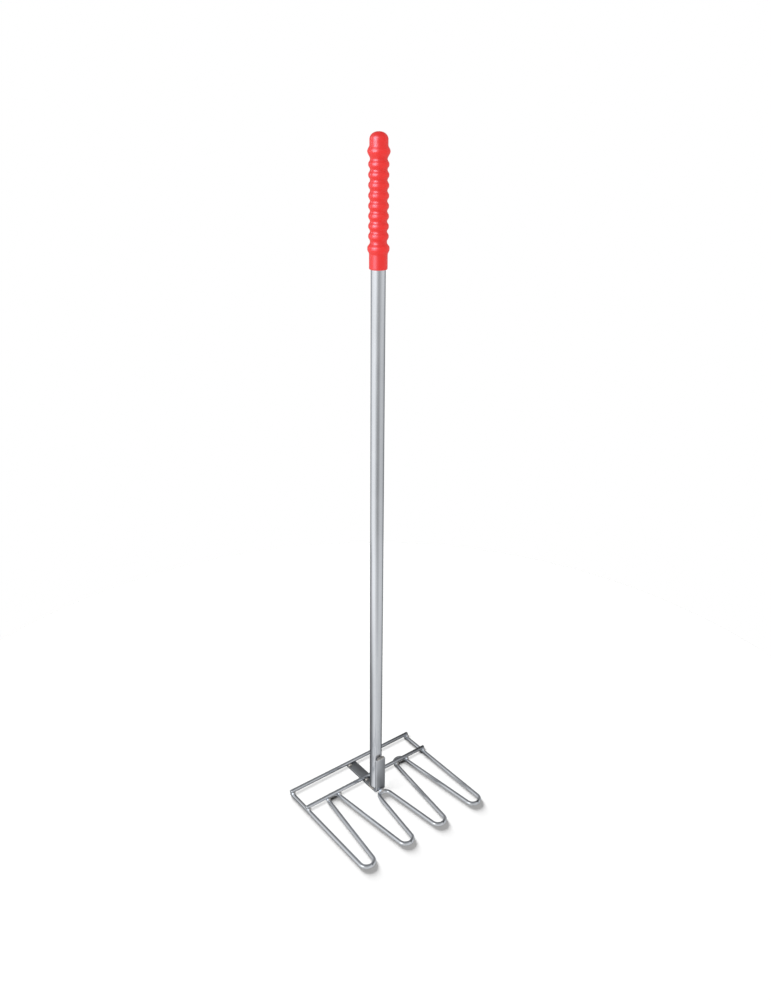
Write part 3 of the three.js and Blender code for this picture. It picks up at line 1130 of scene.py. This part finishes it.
def make_lights():
    """The window lights the grip and the beads on the wire. Two suns light only the floor:
    the wire blocks the low one and the bars and the strip block the high one, so their
    shadows never add up to black."""
    beads = [
        obj.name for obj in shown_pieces()
        if obj.name.startswith("weld") and "strip" not in obj.name and "foot" not in obj.name
    ]
    make_window(collection_of("lit_by_window", ["ribbed_red_grip", *beads]))
    floor_only = collection_of("lit_by_floor_suns", ["floor"])
    make_sun(
        "low_floor_sun",
        azimuth=153.0,
        elevation=20.0,
        spread=25.0,
        strength=153.0,
        lit=floor_only,
        shading=collection_of("wire_shadows", ["bent_tine_wire"]),
    )
    bars = ["rear_cross_bar", "front_cross_bar", "bent_flat_strip"]
    make_sun(
        "high_floor_sun",
        azimuth=54.0,
        elevation=60.0,
        spread=26.0,
        strength=30.0,
        lit=floor_only,
        shading=collection_of("bar_shadows", bars),
    )


def scaled(nodes, links, colour, factor):
    """A colour times a number or another node's output."""
    node = nodes.new("ShaderNodeVectorMath")
    node.operation = "SCALE"
    links.new(colour, node.inputs[0])
    if isinstance(factor, (int, float)):
        node.inputs["Scale"].default_value = factor
    else:
        links.new(factor, node.inputs["Scale"])
    return node.outputs["Vector"]


def brightened(nodes, links, colour, amount):
    """A colour plus the same amount in red, green and blue."""
    node = nodes.new("ShaderNodeVectorMath")
    node.operation = "ADD"
    links.new(colour, node.inputs[0])
    node.inputs[1].default_value = (amount, amount, amount)
    return node.outputs["Vector"]


def flag_share(nodes, links, where):
    """What the flag leaves of the studio's light."""
    side = dot_with(nodes, links, where, (1, 0, 0))
    share = remap(nodes, links, side, *FLAG_START, 1.0, FLAG_SHARE)
    return calculate(
        nodes, links, "ADD", share, remap(nodes, links, side, *FLAG_END, 0.0, PAST_FLAG),
    )


def studio_light(nodes, links, where, ahead, left):
    """What reflections see round the fork."""
    height = dot_with(nodes, links, where, (0, 0, 1))
    raised = remap(nodes, links, height, *RAISED_TO_OVERHEAD)
    ring = azimuth_ramp(nodes, links, ahead, left, RAISED)
    upper = mix_colours(nodes, links, raised, ring, OVERHEAD)
    rising = remap(nodes, links, height, *LEVEL_TO_RAISED)
    ring = azimuth_ramp(nodes, links, ahead, left, LEVEL)
    upper = mix_colours(nodes, links, rising, ring, upper)
    upper = scaled(nodes, links, upper, flag_share(nodes, links, where))
    sinking = remap(nodes, links, height, *BELOW_TO_NEARLY_LEVEL)
    below = azimuth_ramp(nodes, links, ahead, left, BELOW)
    nearly_level = azimuth_ramp(nodes, links, ahead, left, NEARLY_LEVEL)
    lower = mix_colours(nodes, links, sinking, below, nearly_level)
    above = remap(nodes, links, height, *NEARLY_LEVEL_TO_LEVEL)
    return mix_colours(nodes, links, above, lower, upper)


def make_world():
    """White to the camera. Reflections see the studio, and everything else is lit by an
    even fill that is a little stronger on the window's side."""
    world = bpy.data.worlds.new("studio")
    world.use_nodes = True
    nodes, links = world.node_tree.nodes, world.node_tree.links
    where = nodes.new("ShaderNodeTexCoord").outputs["Generated"]
    ahead = dot_with(nodes, links, where, TO_CAMERA)
    left = dot_with(nodes, links, where, LEFT_OF_CAMERA)
    studio = studio_light(nodes, links, where, ahead, left)
    side_light = azimuth_ramp(nodes, links, ahead, left, SIDE_SHARE)
    side_light = scaled(nodes, links, side_light, SIDE_LIGHT)
    fill = brightened(nodes, links, side_light, FILL_LIGHT)
    path = nodes.new("ShaderNodeLightPath")
    lit = mix_colours(nodes, links, path.outputs["Is Glossy Ray"], fill, studio)
    seen = mix_colours(nodes, links, path.outputs["Is Camera Ray"], lit, (1.0, 1.0, 1.0))
    links.new(seen, nodes["Background"].inputs["Color"])
    bpy.context.scene.world = world


# ---- the fork and its studio -----------------------------------------------------

make_camera()
make_floor()
make_world()
bpy.context.scene.view_settings.view_transform = "Standard"

make_wire()
make_bar("rear_cross_bar", "rear_bar", REAR_BAR_Y)
make_bar("front_cross_bar", "front_bar", FRONT_BAR_Y)
make_strip()
make_tube()
make_grip()
make_welds()
make_lights()
